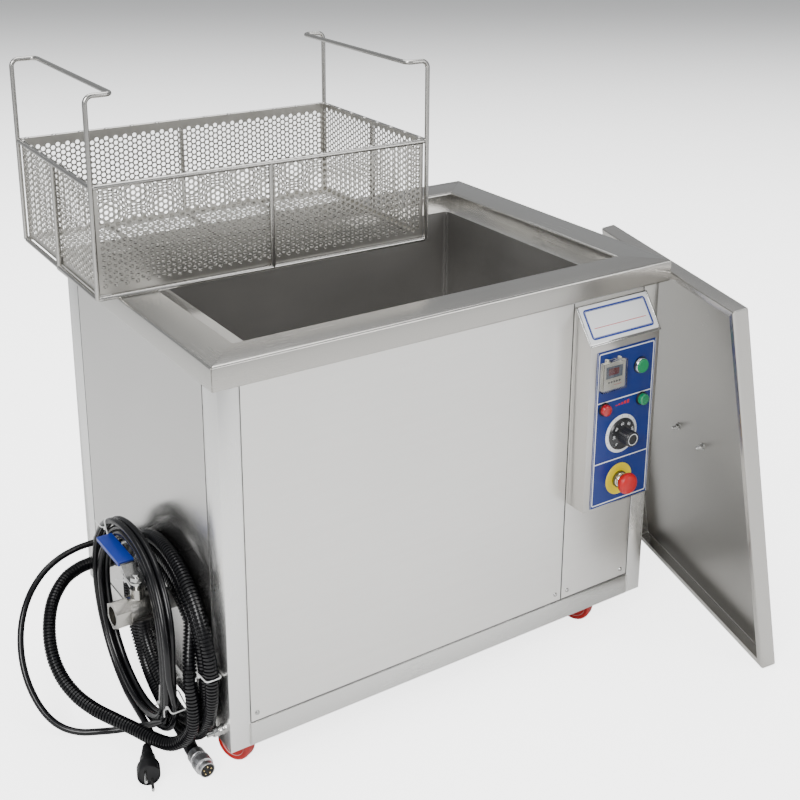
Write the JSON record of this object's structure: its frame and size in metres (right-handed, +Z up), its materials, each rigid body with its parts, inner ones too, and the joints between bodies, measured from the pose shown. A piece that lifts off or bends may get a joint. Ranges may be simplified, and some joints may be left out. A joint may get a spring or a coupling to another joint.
{
  "type": "parts washer tank",
  "caption": "Heated ultrasonic parts washer: stainless cabinet on casters with a deep tank, drain valve, control box, perforated basket and loose lid.",
  "frame": {"origin": "on the floor, midway along and across the whole object with its basket and leaning lid", "axes": "+X along the cabinet's front to the right, +Y to the back, +Z up"},
  "size_m": [1.2731, 0.9368, 1.026],
  "materials": {
    "stainless": "brushed stainless sheet, satin",
    "bright_steel": "bright zinc-plated or polished steel",
    "tank_steel": "plain cold-rolled stainless, matt",
    "nickel": "nickel-plated brass, bright",
    "black_plastic": "black moulded plastic, matt",
    "black_rubber": "smooth black cable jacket",
    "tyre_red": "red polyurethane",
    "blue_vinyl": "dipped blue vinyl",
    "blue_film": "printed polyester film, satin",
    "white_film": "printed aluminium plate, satin",
    "timer_cream": "cream moulded case",
    "clear_plastic": "clear polycarbonate",
    "green_button": "green moulded cap",
    "red_lens": "red lens",
    "green_lens": "green lens",
    "red_plastic": "red moulded head",
    "yellow_plastic": "yellow ring",
    "nylon_white": "white nylon",
    "heater": "orange silicone heater pad",
    "alu": "turned aluminium"
  },
  "bodies": {
    "cabinet": {"corner_posts": "stainless", "bottom_rails": "stainless", "top_rails": "stainless", "panel_mullion": "stainless", "front_panel": "stainless", "access_panel": "stainless", "left_panel": "stainless", "right_panel": "stainless", "rear_panel": "stainless", "panel_screws": "bright_steel", "rim": "stainless", "tank": "tank_steel", "transducers": "alu", "heater_pads": "heater", "thermostat": "black_plastic", "terminal_block": "black_plastic", "drain_pipe": "tank_steel", "valve_body": "nickel", "cable_gland": "black_plastic", "conduit_gland": "black_plastic", "power_cable": "black_rubber", "power_cable_coil": "black_rubber", "mains_plug": "black_plastic", "conduit": "black_plastic", "conduit_coil": "black_plastic", "conduit_connector": "bright_steel", "cable_ties": "nylon_white", "earth_stud": "bright_steel", "control_box": "stainless", "nameplate": "white_film", "control_overlay": "blue_film", "timer": "timer_cream", "start_bezel": "black_plastic", "red_lamp": "red_lens", "green_lamp": "green_lens", "dial_plate": "white_film", "stop_collar": "yellow_plastic", "caster_plates": "bright_steel"},
    "valve_lever": {"valve_ball": "nickel", "valve_lever": "bright_steel", "lever_sleeve": "blue_vinyl"},
    "timer_cover": {"timer_cover": "clear_plastic"},
    "start_button": {"start_button": "green_button"},
    "heat_knob": {"heat_knob": "black_plastic"},
    "stop_stem": {"stop_stem": "black_plastic"},
    "stop_head": {"stop_head": "red_plastic"},
    "basket": {"basket_frame": "stainless", "basket_sheets": "stainless", "basket_handles": "stainless"},
    "lid": {"lid_pan": "stainless", "lid_handle": "black_plastic", "lid_nuts": "bright_steel"},
    "fork_front_left": {"fork_front_left": "bright_steel"},
    "wheel_front_left": {"wheel_front_left": "tyre_red"},
    "fork_rear_left": {"fork_rear_left": "bright_steel"},
    "wheel_rear_left": {"wheel_rear_left": "tyre_red"},
    "fork_front_right": {"fork_front_right": "bright_steel"},
    "wheel_front_right": {"wheel_front_right": "tyre_red"},
    "fork_rear_right": {"fork_rear_right": "bright_steel"},
    "wheel_rear_right": {"wheel_rear_right": "tyre_red"}
  },
  "joints": [
    {"name": "basket_lift", "type": "slide", "parent": "cabinet", "child": "basket", "axis": [0, 0, 1], "range_m": [0, 0.4]},
    {"name": "lid_away", "type": "slide", "parent": "cabinet", "child": "lid", "axis": [0.9613, -0.2756, 0], "range_m": [0, 0.3]},
    {"name": "valve_turn", "type": "hinge", "parent": "cabinet", "child": "valve_lever", "pos_m": [-0.545, -0.058, 0.253], "axis": [0, 0, 1], "range_deg": [0, 90]},
    {"name": "cover_swing", "type": "hinge", "parent": "cabinet", "child": "timer_cover", "pos_m": [0.224, -0.263, 0.5635], "axis": [-1, 0, 0], "range_deg": [0, 95]},
    {"name": "start_press", "type": "slide", "parent": "cabinet", "child": "start_button", "axis": [0, 1, 0], "range_m": [0, 0.004], "stiffness_N_per_m": 400, "springref_m": -0.002},
    {"name": "heat_turn", "type": "hinge", "parent": "cabinet", "child": "heat_knob", "pos_m": [0.254, -0.26, 0.42], "axis": [0, 1, 0], "range_deg": [0, 270]},
    {"name": "stop_press", "type": "slide", "parent": "cabinet", "child": "stop_stem", "axis": [0, 1, 0], "range_m": [0, 0.005]},
    {"name": "stop_twist", "type": "hinge", "parent": "stop_stem", "child": "stop_head", "pos_m": [0.254, -0.26, 0.335], "axis": [0, 1, 0], "range_deg": [0, 45], "stiffness_Nm_per_rad": 0.05},
    {"name": "swivel_front_left", "type": "hinge", "parent": "cabinet", "child": "fork_front_left", "pos_m": [-0.427, -0.177, 0.066], "axis": [0, 0, 1], "continuous": true},
    {"name": "roll_front_left", "type": "hinge", "parent": "fork_front_left", "child": "wheel_front_left", "pos_m": [-0.43577, -0.15902, 0.03], "axis": [-0.8988, -0.4384, 0], "continuous": true},
    {"name": "swivel_rear_left", "type": "hinge", "parent": "cabinet", "child": "fork_rear_left", "pos_m": [-0.427, 0.333, 0.066], "axis": [0, 0, 1], "continuous": true},
    {"name": "roll_rear_left", "type": "hinge", "parent": "fork_rear_left", "child": "wheel_rear_left", "pos_m": [-0.43577, 0.35098, 0.03], "axis": [-0.8988, -0.4384, 0], "continuous": true},
    {"name": "swivel_front_right", "type": "hinge", "parent": "cabinet", "child": "fork_front_right", "pos_m": [0.273, -0.177, 0.066], "axis": [0, 0, 1], "continuous": true},
    {"name": "roll_front_right", "type": "hinge", "parent": "fork_front_right", "child": "wheel_front_right", "pos_m": [0.26423, -0.15902, 0.03], "axis": [-0.8988, -0.4384, 0], "continuous": true},
    {"name": "swivel_rear_right", "type": "hinge", "parent": "cabinet", "child": "fork_rear_right", "pos_m": [0.273, 0.333, 0.066], "axis": [0, 0, 1], "continuous": true},
    {"name": "roll_rear_right", "type": "hinge", "parent": "fork_rear_right", "child": "wheel_rear_right", "pos_m": [0.26423, 0.35098, 0.03], "axis": [-0.8988, -0.4384, 0], "continuous": true}
  ]
}
